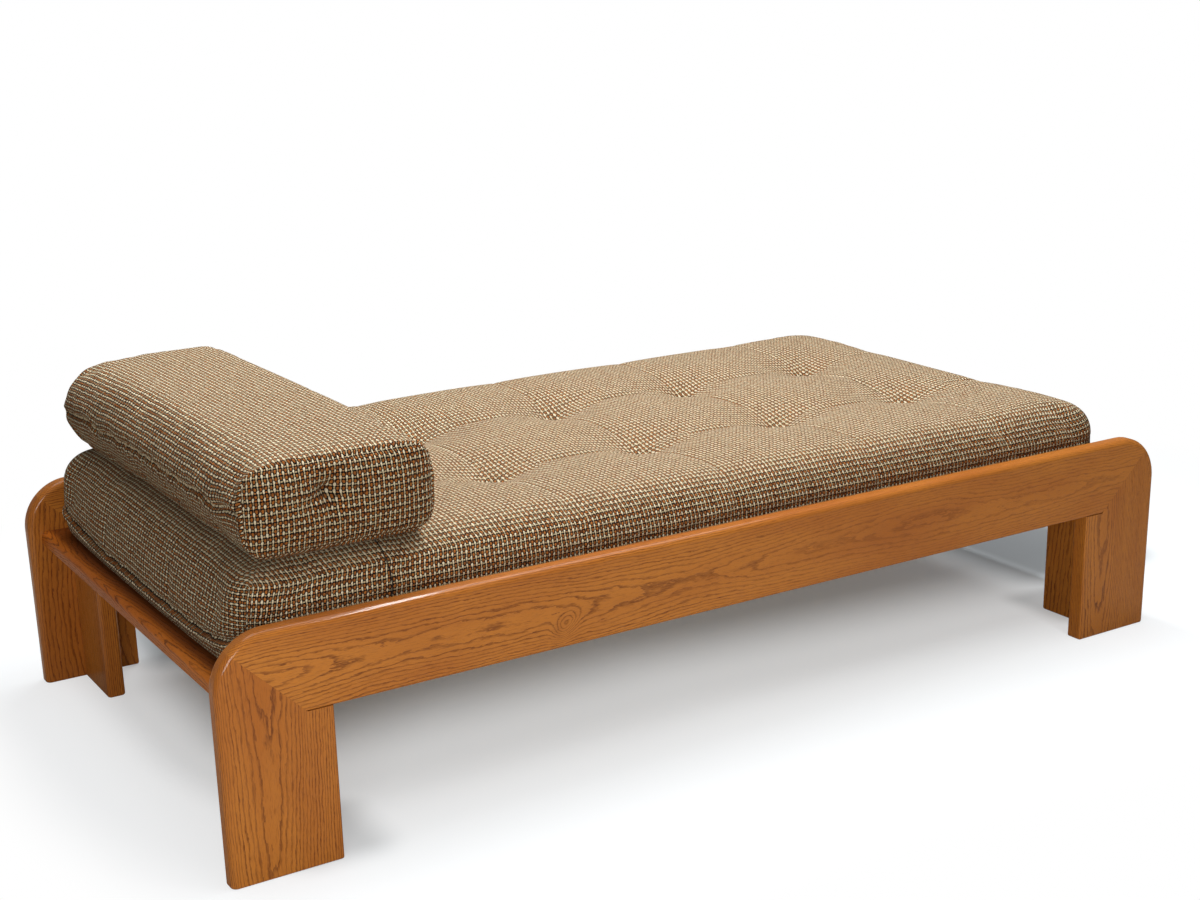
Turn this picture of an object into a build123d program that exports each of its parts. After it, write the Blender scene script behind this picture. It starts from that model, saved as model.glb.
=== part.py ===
"""Oak plank daybed with a loose tufted mattress and a loose bolster.

Millimetres.  Origin: on the floor under the middle of the frame.
+X runs along the bed to its foot, +Y to its back side, +Z up.
The bolster lies at the -X end.
"""

import os
from math import radians, sqrt, tan

from build123d import *

os.makedirs("parts", exist_ok=True)

# ---- frame: overall sizes ----
frame_length = 2000.0
frame_width = 1032.0
frame_height = 406.0
plank = 34.5                # thickness of every leg and rail plank
rail_height = 143.5
leg_width = 187.0
corner_radius = 92.0        # outer top corners of the two side frames
bullnose = 11.0             # rounding along the tops and ends of the side frames
soft_edge = 4.5             # rounding of the other long edges
foot_round = 4.0

# ---- inner leg planks, set square to the side frames ----
inner_leg_depth = 144.0
inner_leg_setback = 78.0    # from the end of the side frame to the plank's outer face
inner_leg_round = 8.0       # free vertical edges

# ---- end boards, lying flat on the inner legs ----
end_board_thickness = 26.5
end_board_width = 160.0
end_board_setback = 24.0
end_board_round = 10.0
deck_height = 311.0         # top of the end boards and slats

# ---- slatted deck ----
slat_count = 12
slat_thickness = 18.0
slat_width = 75.0
slat_edge = 3.0
slat_end_clearance = 1.0
ledger_depth = 28.0
ledger_height = 27.0
ledger_end_clearance = 2.0

# ---- joinery and fixings ----
tongue_thickness = 6.0
tongue_width = 40.0
tongue_end_margin = 22.0    # from each end of the mitre
leg_dowel_diameter = 10.0
leg_dowel_length = 50.0
leg_dowel_in_leg = 22.0
leg_dowel_count = 3
board_dowel_diameter = 8.0
board_dowel_in_board = 30.0
board_dowel_tip_gap = 1.5   # solid wood between a dowel's tip and a tongue
board_dowel_spacing = 90.0
screw_diameter = 4.5
screw_head_diameter = 9.0
screw_sink_angle = 82.0
slat_screw_length = 38.0
slat_screw_inset = 14.0     # from the ledger's inner face to the screw line
ledger_screw_length = 46.0
board_screw_length = 70.0
board_screw_spacing = 90.0

# ---- mattress ----
mattress_length = 1838.0
mattress_thickness = 159.0
mattress_side_clearance = 1.5
mattress_rest_gap = 0.4
mattress_shift = -24.0      # the mattress lies a little towards the bolster end
mattress_plan_radius = 70.0
mattress_top_round = 46.0
mattress_base_round = 28.0
cover_thickness = 2.0
core_clearance = 0.2
tuft_columns = 5
tuft_spacing = 321.0
tuft_row_spacing = 330.0
tuft_first_x = -655.0       # column under the bolster
tuft_radius = 75.0          # of the ball that shapes each hollow
tuft_depth = 12.0
crease_radius = 9.0         # crease that joins the tufts of a column
crease_depth = 2.2
tie_diameter = 3.0
zip_height = 7.0
zip_level = 33.0            # middle of the zip above the mattress base
zip_margin = 10.0           # from the corner rounds to the ends of the zip

# ---- bolster ----
bolster_length = 912.0
bolster_width = 334.0
bolster_thickness = 168.0
bolster_centre_x = -755.0
bolster_corner = 58.0       # rounding of the long edges
bolster_end_round = 10.0
bolster_crown = 9.0         # bulge of top and sides
bolster_rest_gap = 0.4
bolster_zip_margin = 90.0   # from each end panel to the end of the zip
bolster_tie_length = 60.0
bolster_zip_height = 6.0
end_dimple_radius = 60.0
end_dimple_depth = 9.0

# ---- worked out ----
half_length = frame_length / 2
corner_slack = corner_radius * (1 - 1 / sqrt(2))
corner_x = half_length - corner_slack       # where the mitre meets the corner round
corner_z = frame_height - corner_slack
half_width = frame_width / 2
inner_face = half_width - plank
rail_bottom = frame_height - rail_height
shoulder_x = half_length - rail_height      # foot of the mitre
leg_inner_x = half_length - leg_width
tongue_x = (corner_x + shoulder_x) / 2
tongue_z = (corner_z + rail_bottom) / 2
tongue_length = sqrt(2) * (corner_x - shoulder_x) - 2 * tongue_end_margin
screw_head_depth = (
    (screw_head_diameter - screw_diameter) / 2 / tan(radians(screw_sink_angle / 2))
)
board_bottom = deck_height - end_board_thickness
inner_leg_x = half_length - inner_leg_setback - plank / 2
board_outer_x = half_length - end_board_setback
board_inner_x = board_outer_x - end_board_width
board_centre_x = (board_outer_x + board_inner_x) / 2
ledger_length = 2 * (board_inner_x - ledger_end_clearance)
ledger_top = deck_height - slat_thickness
slat_length = 2 * (inner_face - slat_end_clearance)
slat_pitch = 2 * board_inner_x / slat_count
slat_places = [(i - (slat_count - 1) / 2) * slat_pitch for i in range(slat_count)]
slat_gaps = [(a + b) / 2 for a, b in zip(slat_places, slat_places[1:])]
ledger_inner_face = inner_face - ledger_depth
slat_screw_y = ledger_inner_face + slat_screw_inset
ledger_screw_z = ledger_top - ledger_height / 2
ledger_screw_places = slat_gaps[::2]
leg_dowel_pitch = board_bottom / (leg_dowel_count + 1)
board_dowel_z = (board_bottom + deck_height) / 2
board_dowel_in_rail = (plank - tongue_thickness) / 2 - board_dowel_tip_gap
board_screw_y = inner_face - inner_leg_depth / 2
mattress_width = 2 * (inner_face - mattress_side_clearance)
mattress_base = deck_height + mattress_rest_gap
mattress_top = mattress_base + mattress_thickness
tuft_columns_x = [tuft_first_x + i * tuft_spacing for i in range(tuft_columns)]
tuft_places = [(x, side * tuft_row_spacing / 2) for x in tuft_columns_x for side in (-1, 1)]
mattress_end_x = mattress_shift - mattress_length / 2
zip_length = mattress_width - 2 * (mattress_plan_radius + zip_margin)
bolster_base = mattress_top + bolster_rest_gap
bolster_mid_z = bolster_base + bolster_thickness / 2

edge_reach = 1.0            # how far past a face its edges are looked for
side_names = (("front", -1), ("back", 1))
end_names = (("left", -1), ("right", 1))


def save(part, name):
    """Label a finished piece and write it to its STEP file."""
    part.label = name
    export_step(part, f"parts/{name}.step")


def edges_on_faces(piece, middle_test):
    """Edges of a side frame's two broad faces whose middle point passes a test."""
    edges = piece.edges()
    broad = edges.group_by(Axis.Y)[0] + edges.group_by(Axis.Y)[-1]
    return [edge for edge in broad if middle_test(edge @ 0.5)]


# ---- side frames ----
def plank_middle(side):
    """Middle plane of the front or back side frame."""
    return Plane.XZ.offset(-side * (half_width - plank / 2))


def inner_plane(side):
    """Inner face of the front or back side frame."""
    return Plane.XZ.offset(-side * inner_face)


def cut_tongue_grooves(side):
    """Grooves across both mitres, cut into the rail or leg being made."""
    with BuildSketch(plank_middle(side)) as grooves:
        for end in (-1, 1):
            with Locations((end * tongue_x, tongue_z)):
                Rectangle(tongue_length, tongue_width, rotation=45 * end)
    extrude(grooves.sketch, amount=tongue_thickness / 2, both=True, mode=Mode.SUBTRACT)


def cut_board_dowel_holes(side, depth):
    """Holes for the end boards' dowels; a positive depth goes out into the side frame."""
    with BuildSketch(inner_plane(side)) as holes:
        for end in (-1, 1):
            with Locations((end * board_centre_x, board_dowel_z)):
                with GridLocations(board_dowel_spacing, 1, 2, 1):
                    Circle(board_dowel_diameter / 2)
    extrude(holes.sketch, amount=-side * depth, mode=Mode.SUBTRACT)


def cut_leg_dowel_holes(side, end, depth):
    """Holes for the leg dowels; a positive depth goes out into the leg."""
    with BuildSketch(inner_plane(side)) as holes:
        for i in range(leg_dowel_count):
            with Locations((end * inner_leg_x, (i + 1) * leg_dowel_pitch)):
                Circle(leg_dowel_diameter / 2)
    extrude(holes.sketch, amount=-side * depth, mode=Mode.SUBTRACT)


def rail(side):
    """Rail with mitred ends and its half of each corner round."""
    straight_x = half_length - corner_radius
    with BuildPart() as piece:
        with BuildSketch(plank_middle(side)):
            with BuildLine():
                Line((-straight_x, frame_height), (straight_x, frame_height))
                Line((-shoulder_x, rail_bottom), (shoulder_x, rail_bottom))
                for end in (-1, 1):
                    bend_start = (end * straight_x, frame_height)
                    bend_end = (end * corner_x, corner_z)
                    TangentArc(bend_start, bend_end, tangent=(end, 0))
                    Line(bend_end, (end * shoulder_x, rail_bottom))
            make_face()
        extrude(amount=plank / 2, both=True)
        fillet(edges_on_faces(piece, lambda p: p.Z > corner_z), radius=bullnose)
        fillet(edges_on_faces(piece, lambda p: p.Z < rail_bottom + edge_reach), radius=soft_edge)
        cut_tongue_grooves(side)
        cut_board_dowel_holes(side, board_dowel_in_rail)
        with BuildSketch(inner_plane(side)):
            with Locations([(place, ledger_screw_z) for place in ledger_screw_places]):
                Circle(screw_diameter / 2)
        extrude(amount=-side * (ledger_screw_length - ledger_depth), mode=Mode.SUBTRACT)
    return piece.part


def leg(side, end):
    """Leg with its half of the corner round, the mitre, and a shoulder under the rail."""
    with BuildPart() as piece:
        with BuildSketch(plank_middle(side)):
            with BuildLine():
                bend_start = (end * half_length, frame_height - corner_radius)
                bend_end = (end * corner_x, corner_z)
                TangentArc(bend_start, bend_end, tangent=(0, 1))
                Polyline(
                    bend_end,
                    (end * shoulder_x, rail_bottom),
                    (end * leg_inner_x, rail_bottom),
                    (end * leg_inner_x, 0),
                    (end * half_length, 0),
                    bend_start,
                )
            make_face()
        extrude(amount=plank / 2, both=True)
        fillet(edges_on_faces(piece, lambda p: end * p.X > corner_x), radius=bullnose)
        inner_edges = edges_on_faces(piece, lambda p: end * p.X < leg_inner_x + edge_reach)
        fillet(inner_edges, radius=soft_edge)
        fillet(piece.faces().sort_by(Axis.Z)[0].edges(), radius=foot_round)
        cut_tongue_grooves(side)
        cut_leg_dowel_holes(side, end, leg_dowel_in_leg)
        cut_board_dowel_holes(side, board_dowel_in_rail)
    return piece.part


def inner_leg(side, end):
    """Plank that stands square to the leg and carries the end board."""
    centre_y = side * (inner_face - inner_leg_depth / 2)
    with BuildPart() as piece:
        with BuildSketch():
            with Locations((end * inner_leg_x, centre_y)):
                Rectangle(plank, inner_leg_depth)
        extrude(amount=board_bottom)
        free_y = inner_face - edge_reach
        upright = piece.edges().filter_by(Axis.Z)
        fillet([e for e in upright if abs((e @ 0.5).Y) < free_y], radius=inner_leg_round)
        base = piece.faces().sort_by(Axis.Z)[0].edges()
        fillet([e for e in base if abs((e @ 0.5).Y) < free_y], radius=foot_round)
        cut_leg_dowel_holes(side, end, leg_dowel_in_leg - leg_dowel_length)
        with BuildSketch(Plane.XY.offset(board_bottom)):
            with Locations((end * inner_leg_x, side * board_screw_y)):
                with GridLocations(1, board_screw_spacing, 1, 2):
                    Circle(screw_diameter / 2)
        extrude(amount=end_board_thickness - board_screw_length, mode=Mode.SUBTRACT)
    return piece.part


# ---- deck ----
def deck_point(x, y):
    """Level plane on top of the deck, for a screw head."""
    return Plane((x, y, deck_height))


def ledger_point(x, side):
    """Upright plane on a ledger's inner face, for a screw head."""
    return Plane((x, side * ledger_inner_face, ledger_screw_z), z_dir=(0, -side, 0))


def sunk_holes(depth):
    """Countersunk screw holes at the locations in use."""
    CounterSinkHole(
        radius=screw_diameter / 2,
        counter_sink_radius=screw_head_diameter / 2,
        depth=depth,
        counter_sink_angle=screw_sink_angle,
    )


def end_board(end):
    """Flat board across the end of the bed, under the mattress."""
    with BuildPart() as piece:
        with BuildSketch(Plane.XY.offset(board_bottom)):
            with Locations((end * board_centre_x, 0)):
                Rectangle(end_board_width, 2 * inner_face)
        extrude(amount=end_board_thickness)
        long_edges = piece.edges().filter_by(Axis.Y)
        nosing = long_edges.group_by(Axis.Z)[-1].sort_by(Axis.X)[-1 if end > 0 else 0]
        fillet(nosing, radius=end_board_round)
        lower = piece.edges().filter_by(Axis.Y).group_by(Axis.Z)[0]
        fillet(lower, radius=soft_edge)
        for side in (-1, 1):
            with Locations((end * inner_leg_x, side * board_screw_y, deck_height)):
                with GridLocations(1, board_screw_spacing, 1, 2):
                    sunk_holes(end_board_thickness)
            cut_board_dowel_holes(side, -board_dowel_in_board)
    return piece.part


def ledger(side):
    """Bar along the inside of a rail that carries the slats."""
    with BuildPart() as piece:
        with BuildSketch(Plane.XY.offset(ledger_top - ledger_height)):
            with Locations((0, side * (inner_face - ledger_depth / 2))):
                Rectangle(ledger_length, ledger_depth)
        extrude(amount=ledger_height)
        with Locations([ledger_point(place, side) for place in ledger_screw_places]):
            sunk_holes(ledger_depth)
        with BuildSketch(Plane.XY.offset(ledger_top)):
            with Locations([(place, side * slat_screw_y) for place in slat_places]):
                Circle(screw_diameter / 2)
        extrude(amount=slat_thickness - slat_screw_length, mode=Mode.SUBTRACT)
    return piece.part


def slat(place):
    """Slat across the bed, screwed down to both ledgers."""
    with BuildPart() as piece:
        with BuildSketch(Plane.XY.offset(ledger_top)):
            with Locations((place, 0)):
                Rectangle(slat_width, slat_length)
        extrude(amount=slat_thickness)
        fillet(piece.edges().filter_by(Axis.Y).group_by(Axis.Z)[-1], radius=slat_edge)
        with Locations([deck_point(place, side * slat_screw_y) for side in (-1, 1)]):
            sunk_holes(slat_thickness)
    return piece.part


# ---- fixings ----
def screws(length, planes):
    """Countersunk screws: each head is flush with its plane and points out of it."""
    with BuildPart() as one:
        with BuildSketch(Plane.XZ):
            with BuildLine():
                Polyline(
                    (0, 0),
                    (screw_head_diameter / 2, 0),
                    (screw_diameter / 2, -screw_head_depth),
                    (screw_diameter / 2, screw_diameter - length),
                    (0, -length),
                    close=True,
                )
            make_face()
        revolve(axis=Axis.Z)
    with BuildPart() as group:
        with Locations(planes):
            add(one.part)
    return group.part


def mitre_tongues():
    """Loose tongues in the four mitres."""
    with BuildPart() as group:
        for side in (-1, 1):
            with BuildSketch(plank_middle(side)):
                for end in (-1, 1):
                    with Locations((end * tongue_x, tongue_z)):
                        Rectangle(tongue_length, tongue_width, rotation=45 * end)
            extrude(amount=tongue_thickness / 2, both=True)
    return group.part


def leg_dowels():
    """Dowels between each leg and its inner leg."""
    with BuildPart() as group:
        for side in (-1, 1):
            with BuildSketch(Plane.XZ.offset(-side * (inner_face + leg_dowel_in_leg))):
                for end in (-1, 1):
                    for i in range(leg_dowel_count):
                        with Locations((end * inner_leg_x, (i + 1) * leg_dowel_pitch)):
                            Circle(leg_dowel_diameter / 2)
            extrude(amount=side * leg_dowel_length)
    return group.part


def end_board_dowels():
    """Dowels between the end boards and the side frames."""
    with BuildPart() as group:
        for side in (-1, 1):
            with BuildSketch(Plane.XZ.offset(-side * (inner_face + board_dowel_in_rail))):
                for end in (-1, 1):
                    with Locations((end * board_centre_x, board_dowel_z)):
                        with GridLocations(board_dowel_spacing, 1, 2, 1):
                            Circle(board_dowel_diameter / 2)
            extrude(amount=side * (board_dowel_in_rail + board_dowel_in_board))
    return group.part


# ---- mattress ----
def mattress_form(inset):
    """Rounded slab with tuft hollows and creases, pulled in all round by inset."""
    with BuildPart() as form:
        with BuildSketch(Plane.XY.offset(mattress_base + inset)):
            with Locations((mattress_shift, 0)):
                RectangleRounded(
                    mattress_length - 2 * inset,
                    mattress_width - 2 * inset,
                    mattress_plan_radius - inset,
                )
        extrude(amount=mattress_thickness - 2 * inset)
        fillet(form.faces().sort_by(Axis.Z)[-1].edges(), radius=mattress_top_round - inset)
        fillet(form.faces().sort_by(Axis.Z)[0].edges(), radius=mattress_base_round - inset)
        ball_z = mattress_top - tuft_depth + tuft_radius
        with Locations([(x, y, ball_z) for x, y in tuft_places]):
            Sphere(tuft_radius + inset, mode=Mode.SUBTRACT)
        crease_z = mattress_top - crease_depth + crease_radius
        for column in tuft_columns_x:
            with Locations((column, 0, crease_z)):
                Cylinder(
                    crease_radius + inset,
                    mattress_width,
                    rotation=(90, 0, 0),
                    mode=Mode.SUBTRACT,
                )
    return form.part


def mattress_zip_slot():
    """Space that the zip takes up in the cover's bolster end."""
    with BuildPart() as slot:
        with Locations((mattress_end_x, 0, mattress_base + zip_level)):
            Box(2 * cover_thickness, zip_length, zip_height)
    return slot.part


def mattress_cover():
    """Fabric cover with an opening for the zip."""
    with BuildPart() as piece:
        add(mattress_form(0))
        add(mattress_form(cover_thickness), mode=Mode.SUBTRACT)
        add(mattress_zip_slot(), mode=Mode.SUBTRACT)
    return piece.part


def mattress_zip():
    """Zip that closes the cover."""
    with BuildPart() as piece:
        add(mattress_form(0))
        add(mattress_form(cover_thickness), mode=Mode.SUBTRACT)
        add(mattress_zip_slot(), mode=Mode.INTERSECT)
    return piece.part


def tuft_ties(lengthen):
    """Cords that pull the tufts down, from the cover's top to its base."""
    tie_base = mattress_base + cover_thickness
    tie_top = mattress_top - tuft_depth - cover_thickness
    with BuildPart() as group:
        with BuildSketch(Plane.XY.offset(tie_base - lengthen)):
            with Locations(tuft_places):
                Circle(tie_diameter / 2)
        extrude(amount=tie_top - tie_base + 2 * lengthen)
    return group.part


def mattress_core():
    """Foam core, bored for the ties."""
    with BuildPart() as piece:
        add(mattress_form(cover_thickness + core_clearance))
        add(tuft_ties(core_clearance), mode=Mode.SUBTRACT)
    return piece.part


# ---- bolster ----
def bolster_form(inset):
    """Long cushion with crowned top and sides, pulled in all round by inset."""
    widest_x = bolster_width / 2 - inset
    side_x = widest_x - bolster_crown
    top = bolster_thickness - inset
    side_top = top - bolster_crown
    with BuildPart() as form:
        section = Plane((bolster_centre_x, 0, bolster_base), x_dir=(1, 0, 0), z_dir=(0, -1, 0))
        with BuildSketch(section):
            with BuildLine():
                Line((-side_x, inset), (side_x, inset))
                ThreePointArc((-side_x, side_top), (0, top), (side_x, side_top))
                for end in (-1, 1):
                    ThreePointArc(
                        (end * side_x, inset),
                        (end * widest_x, (inset + side_top) / 2),
                        (end * side_x, side_top),
                    )
            outline = make_face()
            fillet(outline.vertices(), radius=bolster_corner - inset)
        extrude(amount=bolster_length / 2 - inset, both=True)
        rims = form.faces().filter_by(Axis.Y).edges()
        fillet(rims, radius=bolster_end_round - inset)
        for side in (-1, 1):
            ball_y = side * (bolster_length / 2 - end_dimple_depth + end_dimple_radius)
            with Locations((bolster_centre_x, ball_y, bolster_mid_z)):
                Sphere(end_dimple_radius + inset, mode=Mode.SUBTRACT)
    return form.part


def bolster_zip_slot():
    """Space that the zip takes up in the cover's outer long side."""
    with BuildPart() as slot:
        with Locations((bolster_centre_x - bolster_width / 2, 0, bolster_mid_z)):
            Box(4 * cover_thickness, bolster_length - 2 * bolster_zip_margin, bolster_zip_height)
    return slot.part


def bolster_cover():
    """Fabric cover with an opening for the zip."""
    with BuildPart() as piece:
        add(bolster_form(0))
        add(bolster_form(cover_thickness), mode=Mode.SUBTRACT)
        add(bolster_zip_slot(), mode=Mode.SUBTRACT)
    return piece.part


def bolster_zip():
    """Zip that closes the cover."""
    with BuildPart() as piece:
        add(bolster_form(0))
        add(bolster_form(cover_thickness), mode=Mode.SUBTRACT)
        add(bolster_zip_slot(), mode=Mode.INTERSECT)
    return piece.part


def bolster_ties(lengthen):
    """Short cords that pull in the middle of each end panel."""
    with BuildPart() as group:
        for side in (-1, 1):
            outer_y = bolster_length / 2 - end_dimple_depth - cover_thickness + lengthen
            start = Plane(
                (bolster_centre_x, side * outer_y, bolster_mid_z), z_dir=(0, -side, 0)
            )
            with BuildSketch(start):
                Circle(tie_diameter / 2)
            extrude(amount=bolster_tie_length + 2 * lengthen)
    return group.part


def bolster_core():
    """Filling, bored for the ties."""
    with BuildPart() as piece:
        add(bolster_form(cover_thickness + core_clearance))
        add(bolster_ties(core_clearance), mode=Mode.SUBTRACT)
    return piece.part


# ---- make and write every piece ----
for side_name, side in side_names:
    save(rail(side), f"{side_name}_rail")
    save(ledger(side), f"{side_name}_ledger")
    for end_name, end in end_names:
        save(leg(side, end), f"{side_name}_{end_name}_leg")
        save(inner_leg(side, end), f"{side_name}_{end_name}_inner_leg")

for end_name, end in end_names:
    save(end_board(end), f"{end_name}_end_board")

for number, place in enumerate(slat_places, start=1):
    save(slat(place), f"slat_{number:02d}")

save(mitre_tongues(), "mitre_tongues")
save(leg_dowels(), "leg_dowels")
save(end_board_dowels(), "end_board_dowels")

slat_screw_heads = [deck_point(x, side * slat_screw_y) for x in slat_places for side in (-1, 1)]
save(screws(slat_screw_length, slat_screw_heads), "slat_screws")

board_screw_heads = [
    deck_point(end * inner_leg_x, side * board_screw_y + step * board_screw_spacing / 2)
    for end in (-1, 1)
    for side in (-1, 1)
    for step in (-1, 1)
]
save(screws(board_screw_length, board_screw_heads), "end_board_screws")

ledger_screw_heads = [ledger_point(x, side) for x in ledger_screw_places for side in (-1, 1)]
save(screws(ledger_screw_length, ledger_screw_heads), "ledger_screws")

save(mattress_cover(), "mattress_cover")
save(mattress_zip(), "mattress_zip")
save(mattress_core(), "mattress_core")
save(tuft_ties(0), "mattress_ties")
save(bolster_cover(), "bolster_cover")
save(bolster_zip(), "bolster_zip")
save(bolster_core(), "bolster_core")
save(bolster_ties(0), "bolster_ties")
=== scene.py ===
"""Looks of the oak plank daybed: lacquered oak, a tufted tweed mattress and a bolster.

Metres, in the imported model's frame: +X towards the foot of the bed, -Y the front, +Z up.
"""

import bpy
import numpy as np
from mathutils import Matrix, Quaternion, Vector


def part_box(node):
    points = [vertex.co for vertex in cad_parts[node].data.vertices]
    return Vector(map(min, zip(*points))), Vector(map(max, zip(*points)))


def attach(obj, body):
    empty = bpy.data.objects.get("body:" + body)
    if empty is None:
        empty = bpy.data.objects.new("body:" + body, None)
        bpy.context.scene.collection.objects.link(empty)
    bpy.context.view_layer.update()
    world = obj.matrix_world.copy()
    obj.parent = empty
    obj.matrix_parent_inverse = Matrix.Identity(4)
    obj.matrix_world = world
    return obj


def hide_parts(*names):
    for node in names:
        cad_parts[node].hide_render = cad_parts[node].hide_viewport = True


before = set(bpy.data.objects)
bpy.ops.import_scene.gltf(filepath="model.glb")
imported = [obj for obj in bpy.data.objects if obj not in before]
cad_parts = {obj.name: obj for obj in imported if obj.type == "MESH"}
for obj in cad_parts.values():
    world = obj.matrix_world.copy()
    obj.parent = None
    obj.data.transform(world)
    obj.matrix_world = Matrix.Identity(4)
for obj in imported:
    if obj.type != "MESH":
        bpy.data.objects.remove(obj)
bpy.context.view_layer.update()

# ---- camera ----
camera_place = (-1.7980, -2.8854, 1.3466)
camera_azimuth = 31.832         # degrees, 0 looks along +Y
camera_elevation = 17.629
camera_roll = -1.300
lens_pixels = 1790.4            # focal length in pixels of a 1200 wide picture
centre_pixel = (600.0, 525.0)
picture_width, picture_height = 1200.0, 900.0
sensor_width = 36.0

# ---- tweed ----
row_pitch = 0.0084              # from one pale strand to the next
cross_pitch = 0.0113            # repeat along a strand

# ---- mattress ----
mattress_low, mattress_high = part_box("mattress_cover")
lattice_step = 0.014
mattress_plan_radius = 0.070
mattress_top_round = 0.050
mattress_base_round = 0.007
tuft_first_x = -0.655
tuft_spacing = 0.321
tuft_columns = 5
tuft_row_spacing = 0.330
tuft_depth = 0.026
tuft_reach = 0.023
hollow_depth = 0.006            # wide hollow round a tuft
hollow_reach = 0.085
crease_depth = 0.0028
crease_reach = 0.0045
edge_folds = (1.8, 1.8, 1.5, 1.5, 1.5)      # each crease down the sides, in crease depths
valley_depth = 0.004            # soft valley along each crease
valley_reach = 0.055
row_valley_depth = 0.003        # softer one along each row of tufts
fold_depth = 0.0011             # small folds in a ring round each tuft
fold_ring, fold_reach = 0.032, 0.024
mattress_crown = 0.004
top_unevenness = 0.0012
mattress_give = 0.014           # furthest that the filling moves a point
mattress_growth = 0.004         # spare cloth, as a share of its size
rail_contact = 0.405            # height up to which the rails hold the sides
rail_gap = 0.006                # dark gap between the cushion and the rails
painted_gap_x = -0.685              # a thin dark line is painted here over the front edge: painted shade in a gap between two strands
side_slack = 0.008              # how far the sides may swell out above the rails
closing_seam_height = 0.036
seam_dip, seam_rise = 0.010, 0.030          # below that in the middle, up at the corners
seam_half_length = 0.45
seam_pinch = 0.010              # groove just above the closing seam
seam_ridge = 0.008              # folded edge that stands out along it
seam_tuck = 0.003               # how far the band under it slants in

# ---- bolster ----
bolster_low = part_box("bolster_cover")[0]
panel_low = (-0.9135, 0.4905)   # seam round the end panels, X and Z
panel_high = (-0.5900, 0.6345)
panel_y = 0.448
panel_corner = 0.034
soft_corner = 0.062             # of the outer long edges, away from the front panel
crown_left, crown_right, crown_top = 0.008, 0.011, 0.006
back_droop = 0.013              # the outer long edge hangs lower at the back
seam_groove = 0.0050            # round the end panels
side_seam_depth = 0.011
side_seam_lip = 0.003           # the cloth above the side seam bulges over it
end_bulge = 0.011
end_tuft_x, end_tuft_z = -0.020, 0.018      # from the panel's middle
end_tuft_depth = 0.034
end_tuft_reach = 0.014
end_fold_depth = 0.0022         # small folds in a ring round the end tuft
end_fold_ring, end_fold_reach = 0.024, 0.016
rim_ruffle = 0.0008
side_seam_pucker = 0.0022
side_seam_wander = 0.0045
side_seam_slope = 0.005         # the cloth slants in below the side seam
bolster_give = 0.006
bolster_growth = 0.010

# ---- stitches ----
stitch_pitch = 0.0078
stitch_stand = 0.0008           # how far the stitches stand out from the seam
stitch_arch = 0.0022
stitch_half_length, stitch_slant = 0.0026, 0.0034
thread_radius = 0.0007

# ---- timber ----
rail_middle = 0.33              # height that the grain of the rails is laid out from
rail_knot = (-0.398, 0.300)     # x and z of the front rail's knot
board_painted_shadow = (0.978, 0.945)  # painted shadow of the mattress: the end boards darken on every face inward between these X distances from x = 0


# ---- studio ----
world_strength = 0.15           # what lights the bed; the camera sees white
floor_reach = 9.0
shadow_x, shadow_y = (-0.74, 1.15), (0.05, 0.55)        # the floor stays dark over these
shadow_slant = 0.10             # its right half reaches further to the front
shaded_spots = (                # low x, high x, low y, high y, soft edge, strength
    (1.07, 1.28, -0.16, 0.55, 0.16, 0.82),
    (-0.74, -0.60, 0.50, 0.70, 0.12, 0.70),
    (-0.85, -0.77, -0.48, -0.36, 0.09, 0.40),
    (0.90, 1.00, -0.40, -0.28, 0.07, 0.35),
)


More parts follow.
